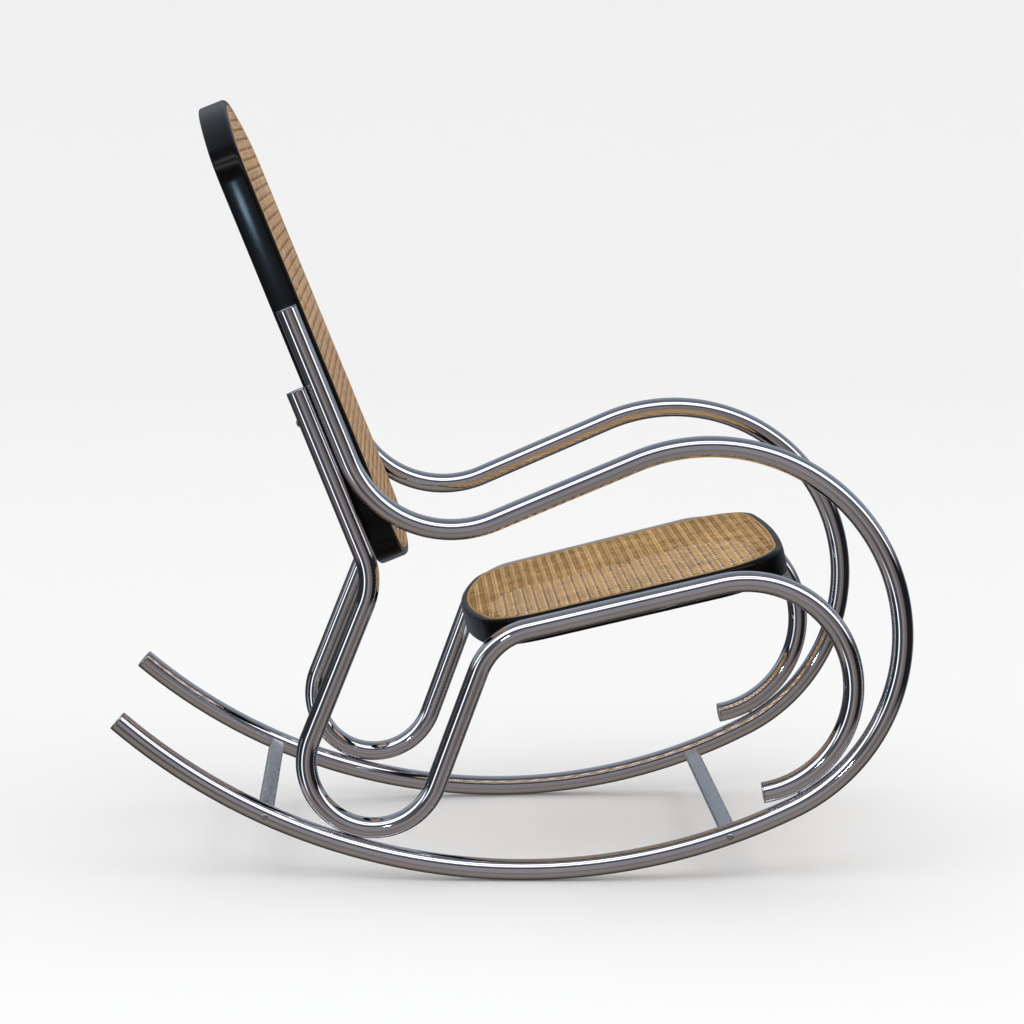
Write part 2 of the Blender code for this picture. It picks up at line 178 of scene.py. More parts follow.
def outer_path():
    """Rocker, front loop, armrest and upright."""
    arm_turn = ROCKER_NOSE + FRONT_TURN - LEAN
    runs = [
        (ROCKER_RADIUS, ROCKER_TAIL + ROCKER_NOSE),
        (FRONT_RADIUS, FRONT_TURN),
        (ARM_RUN, 0),
        (ARM_RADIUS, -arm_turn),
        (UPRIGHT_RUN, 0),
    ]
    return on_rocker(-ROCKER_TAIL), -ROCKER_TAIL, runs


def upright_foot():
    return walk(*outer_path())[-2][0]


def inner_path():
    """Upright, knee, U bend on the rocker, seat rail and front seat loop."""
    lean = math.radians(LEAN)
    start = upright_foot() + INNER_TOP * ahead(lean) + (TUBE + GAP) * left_of(lean)
    rail_bend = LEAN - 180 - KNEE_TURN + U_TURN - RAIL_PITCH
    runs = [
        (INNER_RUN, 0),
        (KNEE_RADIUS, -KNEE_TURN),
        (LEG_RUN, 0),
        (U_RADIUS, U_TURN),
        (SHIN_RUN, 0),
        (RAIL_BEND_RADIUS, -rail_bend),
        (RAIL_RUN, 0),
        (SEAT_LOOP_RADIUS, -SEAT_LOOP_TURN),
    ]
    return start, LEAN - 180, runs


def rail_start():
    return walk(*inner_path())[6][0]


def inside_width(forward):
    return HALF_WIDTH + forward * math.tan(SPLAY) - RADIUS / math.cos(SPLAY) - GAP


def stations(start, heading, runs, trim):
    """Closely spaced (point, heading) pairs along a path, trimmed at both ends."""
    places = [(start.copy(), math.radians(heading))]
    for length, turn in runs:
        steps = max(1, math.ceil(abs(turn) / ARC_STEP)) if turn else STRAIGHT_STEPS
        for _ in range(steps):
            place, course = places[-1]
            share = (length, turn / steps) if turn else (length / steps, 0)
            places.append(walk(place, math.degrees(course), [share])[-1])
    first, course = places[0]
    places[0] = (first + trim * ahead(course), course)
    last, course = places[-1]
    places[-1] = (last - trim * ahead(course), course)
    return places


def settle(places):
    """Ease the rocker inwards by the height that the CAD's flat facet saves.

    A smooth arc through the CAD rocker's corners would dip under the floor.
    """
    centre = rocker_centre()
    lift = ROCKER_RADIUS + RADIUS - centre.z
    tail = math.radians(-ROCKER_TAIL)
    span = math.radians(ROCKER_TAIL + ROCKER_NOSE)
    top = math.sin(math.pi * ROCKER_TAIL / (ROCKER_TAIL + ROCKER_NOSE))
    eased = []
    for place, course in places:
        share = min(max((course - tail) / span, 0), 1)
        shift = SETTLE_SHARE * lift * math.sin(math.pi * share) / top
        eased.append((place + shift * left_of(course), course))
    return eased


# -------------------------------------------------------------- mesh building
def new_object(name, mesh, material, replaces):
    obj = bpy.data.objects.new(name, mesh)
    mesh.materials.append(material)
    bpy.context.collection.objects.link(obj)
    if replaces:
        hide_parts(*replaces)
    return obj


def finish(obj, matrix):
    """Bake a placing matrix into the mesh and make the piece ride."""
    obj.data.transform(matrix)
    if matrix.determinant() < 0:
        obj.data.flip_normals()
    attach(obj, "root")
    return obj


def mesh_from(bm, name, sharp=35):
    bmesh.ops.recalc_face_normals(bm, faces=bm.faces)
    mesh = bpy.data.meshes.new(name)
    bm.to_mesh(mesh)
    bm.free()
    mesh.shade_smooth()
    mesh.set_sharp_from_angle(angle=math.radians(sharp))
    return mesh


def skin_loops(bm, loops, closed=False):
    count = len(loops[0])
    pairs = list(zip(loops, loops[1:]))
    if closed:
        pairs.append((loops[-1], loops[0]))
    for low, high in pairs:
        for index in range(count):
            after = (index + 1) % count
            bm.faces.new((low[index], low[after], high[after], high[index]))


def tube_loop(bm, place, course, radius):
    loop = []
    for index in range(TUBE_SIDES):
        angle = 2 * math.pi * index / TUBE_SIDES
        across = Vector((math.sin(angle), 0, 0))
        spoke = math.cos(angle) * left_of(course) + across
        loop.append(bm.verts.new(place + radius * spoke))
    return loop


def tube_mesh(name, places, holes):
    """Round hollow tube along the stations, with access holes cut through one wall."""
    bm = bmesh.new()
    outer = []
    start, course = places[0]
    outer.append(tube_loop(bm, start, course, RADIUS - TUBE_EDGE))
    outer.append(tube_loop(bm, start + TUBE_EDGE * ahead(course), course, RADIUS))
    outer += [tube_loop(bm, *place, RADIUS) for place in places[1:-1]]
    end, course = places[-1]
    outer.append(tube_loop(bm, end - TUBE_EDGE * ahead(course), course, RADIUS))
    outer.append(tube_loop(bm, end, course, RADIUS - TUBE_EDGE))
    skin_loops(bm, outer)
    inner = [tube_loop(bm, *place, RADIUS - WALL) for place in places]
    skin_loops(bm, inner)
    skin_loops(bm, [outer[0], inner[0]])
    skin_loops(bm, [outer[-1], inner[-1]])
    mesh = mesh_from(bm, name)
    if not holes:
        return mesh
    return with_access_holes(name, mesh, holes)


def with_access_holes(name, mesh, holes):
    """Cut a screwdriver's way in through the wall opposite each sunk screw."""
    body = bpy.data.objects.new(name, mesh)
    bpy.context.collection.objects.link(body)
    cutters = bmesh.new()
    outside = RADIUS + 0.002
    bore = HEAD_RADIUS + GAP
    for axis, inward in holes:
        turn = inward.to_track_quat("Z", "Y").to_matrix().to_4x4()
        middle = axis - outside * inward + inward * RADIUS / 2
        bmesh.ops.create_cone(
            cutters, cap_ends=True, segments=HOLE_SIDES, radius1=bore, radius2=bore,
            depth=RADIUS, matrix=Matrix.Translation(middle) @ turn,
        )
    cutter = bpy.data.objects.new("hole_cutter", mesh_from(cutters, "hole_cutter"))
    bpy.context.collection.objects.link(cutter)
    modifier = body.modifiers.new("holes", "BOOLEAN")
    modifier.operation = "DIFFERENCE"
    modifier.object = cutter
    modifier.solver = "EXACT"
    bpy.context.view_layer.update()
    graph = bpy.context.evaluated_depsgraph_get()
    result = bpy.data.meshes.new_from_object(body.evaluated_get(graph))
    result.materials.clear()
    bpy.data.objects.remove(body)
    bpy.data.objects.remove(cutter)
    result.name = name
    result.shade_smooth()
    result.set_sharp_from_angle(angle=math.radians(35))
    return result


def turned_mesh(name, profile, count, place, axis, recess=None, sharp=35):
    """Solid of revolution, with an optional six-sided recess in its first face."""
    turn = axis.to_track_quat("Z", "X").to_matrix()
    bm = bmesh.new()

    def ring(along, radius, sides):
        loop = []
        for index in range(count):
            angle = 2 * math.pi * index / count
            reach = radius
            if sides:
                sector = 2 * math.pi / sides
                local = (angle + sector / 2) % sector - sector / 2
                reach = radius * math.cos(math.pi / sides) / math.cos(local)
            spot = Vector((reach * math.cos(angle), reach * math.sin(angle), along))
            loop.append(bm.verts.new(place + turn @ spot))
        return loop

    loops = [ring(along, radius, 0) for along, radius in profile]
    if recess:
        radius, depth = recess
        start = profile[0][0]
        loops = [ring(start + depth, radius, 6), ring(start + 0.0001, radius, 6)] + loops
    skin_loops(bm, loops)
    bm.faces.new(loops[0])
    bm.faces.new(loops[-1])
    return mesh_from(bm, name, sharp)


# ------------------------------------------------------------------ materials
class Nodes:
    """Small helper that adds linked nodes to a material."""

    def __init__(self, name):
        self.material = bpy.data.materials.new(name)
        self.material.use_nodes = True
        self.tree = self.material.node_tree
        self.shader = self.tree.nodes["Principled BSDF"]
        self.coords = self.tree.nodes.new("ShaderNodeTexCoord")

    def add(self, kind, links=None, **settings):
        node = self.tree.nodes.new(kind)
        for key, value in settings.items():
            if hasattr(node, key):
                setattr(node, key, value)
            else:
                node.inputs[key].default_value = value
        for socket, source in (links or {}).items():
            self.tree.links.new(source, node.inputs[socket])
        return node

    def put(self, socket, source):
        self.tree.links.new(source, self.shader.inputs[socket])

    def set(self, **values):
        for key, value in values.items():
            self.shader.inputs[key.replace("_", " ")].default_value = value

    def noise(self, scale, detail=3.0, rough=0.5, stretch=None):
        source = self.coords.outputs["Object"]
        if stretch:
            mapping = self.add("ShaderNodeMapping", {"Vector": source})
            mapping.inputs["Scale"].default_value = stretch
            source = mapping.outputs["Vector"]
        node = self.add("ShaderNodeTexNoise", {"Vector": source})
        node.inputs["Scale"].default_value = scale
        node.inputs["Detail"].default_value = detail
        node.inputs["Roughness"].default_value = rough
        return node.outputs["Fac"]

    def span(self, source, low, high, from_low=0.3, from_high=0.7):
        node = self.add("ShaderNodeMapRange", {"Value": source})
        node.inputs["From Min"].default_value = from_low
        node.inputs["From Max"].default_value = from_high
        node.inputs["To Min"].default_value = low
        node.inputs["To Max"].default_value = high
        return node.outputs["Result"]

    def ramp(self, source, stops):
        node = self.add("ShaderNodeValToRGB", {"Fac": source})
        points = node.color_ramp.elements
        while len(points) < len(stops):
            points.new(0.5)
        for point, (place, colour) in zip(points, stops):
            point.position = place
            point.color = (*colour, 1)
        return node.outputs["Color"]

    def bump(self, source, strength, distance):
        node = self.add("ShaderNodeBump", {"Height": source})
        node.inputs["Strength"].default_value = strength
        node.inputs["Distance"].default_value = distance
        self.put("Normal", node.outputs["Normal"])

    def math(self, operation, first, second):
        node = self.tree.nodes.new("ShaderNodeMath")
        node.operation = operation
        for socket, value in zip(node.inputs, (first, second)):
            if hasattr(value, "is_linked"):
                self.tree.links.new(value, socket)
            else:
                socket.default_value = value
        return node.outputs[0]


def chrome_material(name, low, high):
    """Polished chrome with faint haze, wipe marks and small specks of wear."""
    nodes = Nodes(name)
    nodes.set(Metallic=1.0)
    haze = nodes.noise(9, 4, 0.6)
    nodes.put("Base Color", nodes.ramp(haze, [(0.3, low), (0.7, high)]))
    specks = nodes.span(nodes.noise(700, 1, 0.5), 0.0, 0.22, 0.72, 0.76)
    smears = nodes.span(nodes.noise(30, 5, 0.7), 0.025, 0.060)
    nodes.put("Roughness", nodes.math("ADD", smears, specks))
    nodes.bump(nodes.noise(90, 2, 0.5), 0.05, 0.0002)
    return nodes.material


def satin_material(name, colour, rough):
    """Brushed plated steel, its brushing along X."""
    nodes = Nodes(name)
    nodes.set(Metallic=1.0)
    grain = nodes.noise(1400, 2, 0.6, (0.02, 1, 1))
    low = tuple(0.86 * c for c in colour)
    nodes.put("Base Color", nodes.ramp(grain, [(0.35, low), (0.65, colour)]))
    nodes.put("Roughness", nodes.span(grain, rough - 0.05, rough + 0.08))
    nodes.bump(grain, 0.12, 0.0003)
    return nodes.material


def lacquer_material():
    """Black lacquer on bentwood: grain just showing, soft scuffs, worn gloss."""
    nodes = Nodes("black_lacquer_worn")
    scuffs = nodes.noise(16, 6, 0.6)
    fine = nodes.noise(420, 3, 0.6, (0.35, 1, 1))
    fresh, dull = (0.0018, 0.0018, 0.002), (0.005, 0.005, 0.006)
    nodes.put("Base Color", nodes.ramp(scuffs, [(0.50, fresh), (0.85, dull)]))
    nodes.put("Roughness", nodes.span(scuffs, 0.22, 0.34, 0.35, 0.75))
    nodes.set(Specular_IOR_Level=0.10, Coat_Weight=0.20, Coat_Roughness=0.10)
    nodes.bump(fine, 0.06, 0.0002)
    return nodes.material


def cane_material(name, dark, pale, rough):
    """Split rattan: each strand coloured on its own, long fibres, darker nodes, and painted shade that
    darkens the strands lying lower in the weave and their ends in the groove.
    """
    nodes = Nodes(name)
    # The strand attribute carries each strand's colour with painted shade: darker for the strands that
    # lie lower and at their ends in the groove.
    strand = nodes.add("ShaderNodeAttribute", attribute_name="tone_and_shade").outputs["Fac"]
    fibre = nodes.noise(700, 3, 0.6)
    blotch = nodes.noise(28, 4, 0.6)
    mixed = nodes.math("MULTIPLY", strand, 0.62)
    mixed = nodes.math("ADD", mixed, nodes.math("MULTIPLY", nodes.span(blotch, 0, 1), 0.24))
    mixed = nodes.math("ADD", mixed, nodes.math("MULTIPLY", nodes.span(fibre, 0, 1), 0.14))
    middle = tuple((a + b) / 2 for a, b in zip(dark, pale))
    nodes.put("Base Color", nodes.ramp(mixed, [(0.12, dark), (0.5, middle), (0.88, pale)]))
    nodes.put("Roughness", nodes.span(fibre, rough - 0.08, rough + 0.10))
    nodes.set(Specular_IOR_Level=0.22)
    nodes.bump(fibre, 0.25, 0.0003)
    return nodes.material


def stage_material():
    """Plain pale paper."""
    nodes = Nodes("pale_stage")
    nodes.set(Base_Color=(0.93, 0.93, 0.93, 1), Roughness=0.9, Specular_IOR_Level=0.0)
    return nodes.material


# ------------------------------------------------------------------ side frame
def sunk_screws():
    bend_start, course = walk(*inner_path())[3]
    bend_centre = bend_start + U_RADIUS * left_of(course)
    down = (bend_centre - rocker_centre()).normalized()
    nose = math.radians(ROCKER_NOSE)
    front_centre = on_rocker(ROCKER_NOSE) + FRONT_RADIUS * left_of(nose)
    loop_up = left_of(nose + math.radians(SEAT_LOOP_SCREW))
    return {
        "rocker_bend_screw": (rocker_centre() + ROCKER_RADIUS * down, -down),
        "seat_loop_screw": (front_centre - FRONT_RADIUS * loop_up, loop_up),
    }


def screw_seats(side):
    """Head seats and directions of a side's screws, in its own axes."""
    out = Vector((side, 0, 0))
    lean = math.radians(LEAN)
    seats = {}
    for end, angle in STRETCHER_ANGLES.items():
        seats[f"{end}_stretcher_screw"] = (on_rocker(angle) + RADIUS * out, -out)
    behind = (TUBE + GAP + RADIUS) * left_of(lean)
    foot = upright_foot() + UPRIGHT_BOLT * ahead(lean)
    seats["upright_bolt"] = (foot + behind, -left_of(lean))
    for name, (axis, inward) in sunk_screws().items():
        seats[name] = (axis + SUNK * inward, inward)
    return seats


def screw_profile():
    """Domed head and the top of the shank, from the head's crown inwards."""
    crown, steps, shank = 22, 6, 0.010
    points = []
    for step in range(steps + 1):
        angle = math.radians(crown + (90 - crown) * step / steps)
        height = HEAD_HEIGHT * math.cos(angle) / math.cos(math.radians(crown))
        points.append((-height - GAP / 3, HEAD_RADIUS * math.sin(angle)))
    points += [(0.0, HEAD_RADIUS - 0.0002), (0.0, SCREW_RADIUS), (shank, SCREW_RADIUS)]
    return points


def plug_profile():
    """Stem, cap and slightly dished face, as (place along the tube, radius)."""
    bevel, nick, dish = PLUG_BEVEL, 0.0002, 0.0030
    return [
        (-PLUG_DEPTH, PLUG_BORE - 0.0006), (-PLUG_DEPTH + 0.0006, PLUG_BORE),
        (-PLUG_CAP, PLUG_BORE), (-PLUG_CAP, RADIUS - nick), (-PLUG_CAP + nick, RADIUS),
        (-bevel, RADIUS), (-bevel * 0.45, RADIUS - bevel * 0.12),
        (-bevel * 0.12, RADIUS - bevel * 0.45), (0, RADIUS - bevel),
        (0, RADIUS - dish), (-0.0001, RADIUS - dish - 0.0004),
    ]


def side_frame(label, side):
    place = Matrix.Translation((side * HALF_WIDTH, ORIGIN_Y, 0))
    place = place @ Matrix.Rotation(side * SPLAY, 4, "Z")
    trim = PLUG_CAP + 2 * GAP / 3
    outer = settle(stations(*outer_path(), trim))
    inner = stations(*inner_path(), trim)
    for name, places, holes in (
        ("outer", outer, list(sunk_screws().values())),
        ("inner", inner, []),
    ):
        mesh = tube_mesh(f"{label}_{name}_chrome_tube", places, holes)
        tube = new_object(f"{label}_{name}_chrome_tube", mesh, CHROME,
                          [f"{label}_{name}_tube"])
        finish(tube, place)
    plugs = (
        ("rocker_plug", outer_path(), 0),
        ("upright_plug", outer_path(), -1),
        ("inner_tube_plug", inner_path(), 0),
        ("seat_loop_plug", inner_path(), -1),
    )
    for name, path, end in plugs:
        spot, course = walk(*path)[end]
        outward = ahead(course) if end else -ahead(course)
        mesh = turned_mesh(f"{label}_{name}_cap", plug_profile(), TUBE_SIDES, spot, outward,
                           sharp=50)
        plug = new_object(f"{label}_{name}_cap", mesh, PLUG_CHROME,
                          [f"{label}_{name}"])
        finish(plug, place)
    for name, (seat, inward) in screw_seats(side).items():
        mesh = turned_mesh(f"{label}_{name}_head", screw_profile(), SCREW_SIDES, seat, inward,
                           recess=HEX_RECESS, sharp=40)
        screw = new_object(f"{label}_{name}_head", mesh, ZINC, [f"{label}_{name}"])
        finish(screw, place)


# --------------------------------------------------------- stretchers, panels
def taper_x(forward, half_width):
    return inside_width(forward) / half_width


def taper(bm, origin, heading, half_width):
    for vert in bm.verts:
        forward = -origin.y - vert.co.y * math.cos(heading) - vert.co.z * math.sin(heading)
        vert.co.x *= taper_x(forward, half_width)


def panel_matrix(origin, heading):
    place = Matrix.Translation((0, ORIGIN_Y + origin.y, origin.z))
    return place @ Matrix.Rotation(-heading, 4, "X")


def stretcher(label, angle):
    """Flat bar with round edges and softened ends."""
    origin = on_rocker(angle)
    heading = math.radians(angle)
    half = STRETCHER_THICKNESS / 2
    flat = STRETCHER_WIDTH / 2 - half
    soften = STRETCHER_EDGE
    bm = bmesh.new()
    loops = []
    cuts = [(-HALF_WIDTH, soften), (-HALF_WIDTH + soften, 0)]
    cuts += [(HALF_WIDTH * (2 * step / BAR_STEPS - 1), 0) for step in range(1, BAR_STEPS)]
    cuts += [(HALF_WIDTH - soften, 0), (HALF_WIDTH, soften)]
    for x, inset in cuts:
        loop = []
        for centre, first in ((flat, -90), (-flat, 90)):
            for index in range(EDGE_STEPS + 1):
                turn = math.radians(first + 180 * index / EDGE_STEPS)
                y = centre + (half - inset) * math.cos(turn)
                loop.append(bm.verts.new((x, y, (half - inset) * math.sin(turn))))
        loops.append(loop)
    skin_loops(bm, loops)
    bm.faces.new(loops[0])
    bm.faces.new(loops[-1])
    taper(bm, origin, heading, HALF_WIDTH)
    mesh = mesh_from(bm, f"{label}_stretcher_bar", 40)
    bar = new_object(f"{label}_stretcher_bar", mesh, SATIN,
                     [f"{label}_stretcher"])
    finish(bar, panel_matrix(origin, heading))


def end_arcs(half_width, end, bow, corner, inset):
    """One quarter of a panel's outline: a bowed end that runs into a corner arc."""
    bow_centre = end - bow
    corner_x = half_width - corner
    corner_s = bow_centre + math.sqrt((bow - corner) ** 2 - corner_x ** 2)
    meet = math.atan2(corner_x, corner_s - bow_centre)
    points = []
    radius = bow - inset
    for index in range(BOW_STEPS):
        angle = meet * index / BOW_STEPS
        points.append((radius * math.sin(angle), bow_centre + radius * math.cos(angle)))
    radius = corner - inset
    for index in range(CORNER_STEPS + 1):
        angle = meet + (math.pi / 2 - meet) * index / CORNER_STEPS
        points.append((corner_x + radius * math.sin(angle), corner_s + radius * math.cos(angle)))
    return points


def panel_outline(shape, inset):
    """The outline before the taper, as (x, s) with s counted towards the front."""
    half_width = shape["half_width"]
    front = end_arcs(half_width, shape["front"], *shape["front_arcs"], inset)
    rear = end_arcs(half_width, shape["rear"], *shape["rear_arcs"], inset)
    side = []
    first, last = front[-1], (rear[-1][0], -rear[-1][1])
    for step in range(1, SIDE_STEPS):
        side.append(tuple(a + (b - a) * step / SIDE_STEPS for a, b in zip(first, last)))
    right = front + side + [(x, -s) for x, s in reversed(rear)]
    left = [(-x, s) for x, s in reversed(right[1:-1])]
    return right + left


def panel_piece(name, shape, profile):
    """A closed ring that follows the panel's outline."""
    bm = bmesh.new()
    loops = []
    for inset, height in profile(shape):
        loops.append([bm.verts.new((x, -s, height)) for x, s in panel_outline(shape, inset)])
    skin_loops(bm, loops, closed=True)
    taper(bm, shape["origin"], shape["heading"], shape["half_width"])
    return mesh_from(bm, name, 50)


def rounded(corner_a, corner, corner_b, radius):
    """Points of a fillet at a corner between two neighbours, as (inset, height)."""
    def towards(a, b):
        length = math.dist(a, b)
        return ((b[0] - a[0]) / length, (b[1] - a[1]) / length)

    back, on = towards(corner, corner_a), towards(corner, corner_b)
    points = []
    for step in range(FILLET_STEPS + 1):
        t = step / FILLET_STEPS
        near, middle, far = (1 - t) ** 2, 2 * t * (1 - t), t ** 2
        points.append(tuple(
            near * (corner[i] + radius * back[i]) + middle * corner[i]
            + far * (corner[i] + radius * on[i]) for i in range(2)))
    return points


def frame_profile(shape):
    """Cross-section of the wooden ring, its edges softened by wear."""
    top = shape["top"]
    low = top - shape["thickness"]
    lip = top - CANE - GAP
    floor = top - GROOVE_DEPTH
    corners = [
        ((0, low), FRAME_BOTTOM_EDGE), ((0, top), FRAME_TOP_EDGE), ((RIM, top), 0.0006),
        ((RIM, floor), 0.0004), ((RIM + GROOVE, floor), 0.0004), ((RIM + GROOVE, lip), 0.0005),
        ((RING, lip), FRAME_INNER_EDGE), ((RING, low), FRAME_INNER_EDGE),
    ]
    points = []
    for index, (corner, radius) in enumerate(corners):
        before = corners[index - 1][0]
        after = corners[(index + 1) % len(corners)][0]
        points += rounded(before, corner, after, radius)
    return points


def spline_profile(shape):
    """Half-round reed standing in the groove."""
    top = shape["top"]
    first = RIM + GAP
    low = top - GROOVE_DEPTH + GAP
    half = SPLINE / 2
    spring, crown, steps = top - 0.0009, 0.0015, 8
    points = [(first, low), (first + SPLINE, low)]
    for step in range(steps + 1):
        angle = math.pi * step / steps
        points.append((first + half + half * math.cos(angle), spring + crown * math.sin(angle)))
    return points


def tapered_outline(shape, inset):
    """The panel's real outline at its top face, as (x, s) points."""
    heading = shape["heading"]
    points = []
    rise = shape["top"] * math.sin(heading)
    for x, s in panel_outline(shape, inset):
        forward = -shape["origin"].y + s * math.cos(heading) - rise
        points.append((x * taper_x(forward, shape["half_width"]), s))
    return np.array(points)


def clip_line(outline, point, direction):
    """Distances along a line at which it enters and leaves a convex outline."""
    normal = np.array((-direction[1], direction[0]))
    side = (outline - point) @ normal
    after = np.roll(side, -1)
    cross = (side > 0) != (after > 0)
    if cross.sum() != 2:
        return None
    share = side[cross] / (side[cross] - after[cross])
    spots = outline[cross] + share[:, None] * (np.roll(outline, -1, 0)[cross] - outline[cross])
    along = np.sort((spots - point) @ np.array(direction))
    return along if along[1] - along[0] > 0.004 else None


def strand_families():
    """Strand lines of the six-way weave.

    Gives (point, direction, width, height function, lightness) for each strand.
    The height function takes positions in repeats of the weave: the lateral
    strands lie on top, the lengthwise ones below, and the diagonals pass over
    one and under the other. The lightness is painted shade, with some dirt:
    the lower a family lies, the darker its strands, for the shade in the gaps
    under the top strands.
    """
    t = STRAND_THICKNESS
    reach = int(0.6 / WEAVE)
    diagonal = math.sqrt(0.5)
    tau = 2 * math.pi
    lines = []
    for k in range(-reach, reach + 1):
        for half in (-PAIR, PAIR):
            # Lightness is highest for the lateral strands on top, lowest for the lengthwise ones below
            # and in between for the diagonals: painted shade, with some dirt, in the gaps of the weave.
            lines.append(((0.0, k * WEAVE + half), (1.0, 0.0), STRAND,
                          lambda x, s: t * (0.45 + 0.15 * np.cos(tau * x)), 0.62))
            lines.append(((k * WEAVE + half, 0.0), (0.0, 1.0), STRAND,
                          lambda x, s: t * (-0.55 - 0.15 * np.cos(tau * s)), 0.42))
        offset = (k + 0.5) * WEAVE
        lines.append(((offset, 0.0), (diagonal, -diagonal), BINDER,
                      lambda x, s: t * (-0.25 - 1.00 * np.cos(tau * x)), 0.50))
        lines.append(((offset, 0.0), (diagonal, diagonal), BINDER,
                      lambda x, s: t * (-0.25 + 1.00 * np.cos(tau * x)), 0.46))
    return lines


def strand_steps(length, direction):
    """Segments along a strand, so that each repeat of the weave gets as many."""
    repeats = length / WEAVE / max(abs(direction[0]), abs(direction[1]))
    return max(4, int(math.ceil(repeats * WEAVE_STEPS)))


def cane_mesh(name, shape, seed):
    """Every strand of the webbing as its own closed flat-oval ribbon."""
    generator = np.random.RandomState(seed)
    outline = tapered_outline(shape, RIM + GROOVE - 0.0010)
    middle = shape["top"] - 0.0004
    section = ((-0.5, 0.0), (-0.30, 0.45), (0.30, 0.45), (0.5, 0.0), (0.30, -0.45), (-0.30, -0.45))
    sides = len(section)
    verts, faces, tones_and_shade = [], [], []
    count = 0
    for point, direction, width, height, lightness_and_shade in strand_families():
        wander = generator.uniform(-STRAND_WANDER, STRAND_WANDER)
        # Each strand's colour value is its family's painted-shade lightness plus a random spread.
        tone_and_shade = lightness_and_shade + generator.uniform(-TONE_SPREAD, TONE_SPREAD)
        width = width * generator.uniform(0.92, 1.06)
        across = np.array((-direction[1], direction[0]))
        start = np.array(point) + wander * across
        ends = clip_line(outline, start, direction)
        if ends is None:
            continue
        along = np.linspace(ends[0], ends[1], strand_steps(ends[1] - ends[0], direction) + 1)
        inner = np.clip(along, ends[0] + TUCK, ends[1] - TUCK)
        along = np.concatenate(([ends[0]], inner, [ends[1]]))
        centre = start + along[:, None] * np.array(direction)
        repeat = centre / WEAVE
        lift = middle + height(repeat[:, 0], repeat[:, 1])
        lift[0] = lift[-1] = shape["top"] - DIVE
        slow = 0.06 * np.sin(along * 40 + tone_and_shade * 90)
        quick = 0.10 * np.sin(along * 330 + tone_and_shade * 60)
        tone_and_groove_shade = tone_and_shade + slow + quick
        # The ends, where a strand dives into the groove, are painted darker: painted shade in the
        # groove.
        tone_and_groove_shade[0] = tone_and_groove_shade[-1] = tone_and_shade - 0.2
        for offset, rise in section:
            spot = centre + offset * width * across
            top = lift + rise * STRAND_THICKNESS
            verts.append(np.column_stack((spot[:, 0], -spot[:, 1], top)))
            tones_and_shade.append(tone_and_groove_shade)
        rows = len(along)
        index = np.arange(rows - 1)
        for side in range(sides):
            a = count + side * rows + index
            b = count + ((side + 1) % sides) * rows + index
            faces.append(np.column_stack((a, b, b + 1, a + 1)))
        count += sides * rows
    return strand_mesh(name, np.concatenate(verts), np.concatenate(faces), np.concatenate(tones_and_shade))


def strand_mesh(name, points, quads, tones_and_shade):
    corners = len(quads) * 4
    mesh = bpy.data.meshes.new(name)
    mesh.vertices.add(len(points))
    mesh.vertices.foreach_set("co", points.astype(np.float32).ravel())
    mesh.loops.add(corners)
    mesh.loops.foreach_set("vertex_index", quads.astype(np.int32).ravel())
    mesh.polygons.add(len(quads))
    mesh.polygons.foreach_set("loop_start", np.arange(0, corners, 4).astype(np.int32))
    mesh.update(calc_edges=True)
    mesh.validate()
    mesh.shade_smooth()
    tone_and_shade = mesh.attributes.new("tone_and_shade", "FLOAT", "POINT")
    tone_and_shade.data.foreach_set("value", np.clip(tones_and_shade, 0, 1).astype(np.float32))
    return mesh


def seat_shape():
    return {
        "origin": rail_start(), "heading": math.radians(RAIL_PITCH),
        "half_width": 0.2290, "top": 0.0136, "thickness": 0.0326,
        "front": 0.3341, "front_arcs": (1.665, 0.1009),
        "rear": 0.0728, "rear_arcs": (0.720, 0.0740),
    }


def back_shape():
    return {
        "origin": upright_foot(), "heading": math.radians(LEAN - 180),
        "half_width": 0.2115, "top": 0.0173, "thickness": 0.0346,
        "front": 0.1542, "front_arcs": (0.620, 0.0780),
        "rear": 0.4519, "rear_arcs": (0.355, 0.0520),
    }


def caned_panel(label, shape, cane, seed):
    ring, reed, weave = (f"{label}_{name}" for name in ("lacquered_frame", "reed_spline", "woven_cane"))
    pieces = (
        (panel_piece(ring, shape, frame_profile), LACQUER, "black_lacquer", "frame"),
        (panel_piece(reed, shape, spline_profile), REED, "cane_spline", "spline"),
        (cane_mesh(weave, shape, seed), cane, f"{label}_cane", "cane"),
    )
    for name, (mesh, material, slot, node) in zip((ring, reed, weave), pieces):
        piece = new_object(name, mesh, material, [f"{label}_{node}"])
        finish(piece, panel_matrix(shape["origin"], shape["heading"]))


# ----------------------------------------------------------------------- build
CHROME = chrome_material("worn_chrome", (0.70, 0.69, 0.72), (0.80, 0.79, 0.82))
PLUG_CHROME = chrome_material("cap_chrome", (0.66, 0.66, 0.70), (0.74, 0.74, 0.78))
SATIN = satin_material("satin_stretcher", (0.70, 0.72, 0.77), 0.26)
ZINC = satin_material("zinc_screw", (0.52, 0.53, 0.55), 0.32)
LACQUER = lacquer_material()
SEAT_CANE = cane_material("seat_cane_varnished", (0.17, 0.082, 0.022), (0.97, 0.61, 0.245), 0.42)
BACK_CANE = cane_material("back_cane_varnished", (0.23, 0.13, 0.065), (0.84, 0.56, 0.335), 0.46)
REED = cane_material("reed", (0.44, 0.27, 0.11), (0.70, 0.46, 0.22), 0.42)

for LABEL, SIDE in (("right", -1), ("left", 1)):
    side_frame(LABEL, SIDE)
for LABEL, ANGLE in STRETCHER_ANGLES.items():
    stretcher(LABEL, ANGLE)
caned_panel("seat", seat_shape(), SEAT_CANE, 7)
caned_panel("back", back_shape(), BACK_CANE, 11)

for NAME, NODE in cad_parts.items():
    if "stud" in NAME:
        NODE.data.materials.clear()
        NODE.data.materials.append(ZINC)


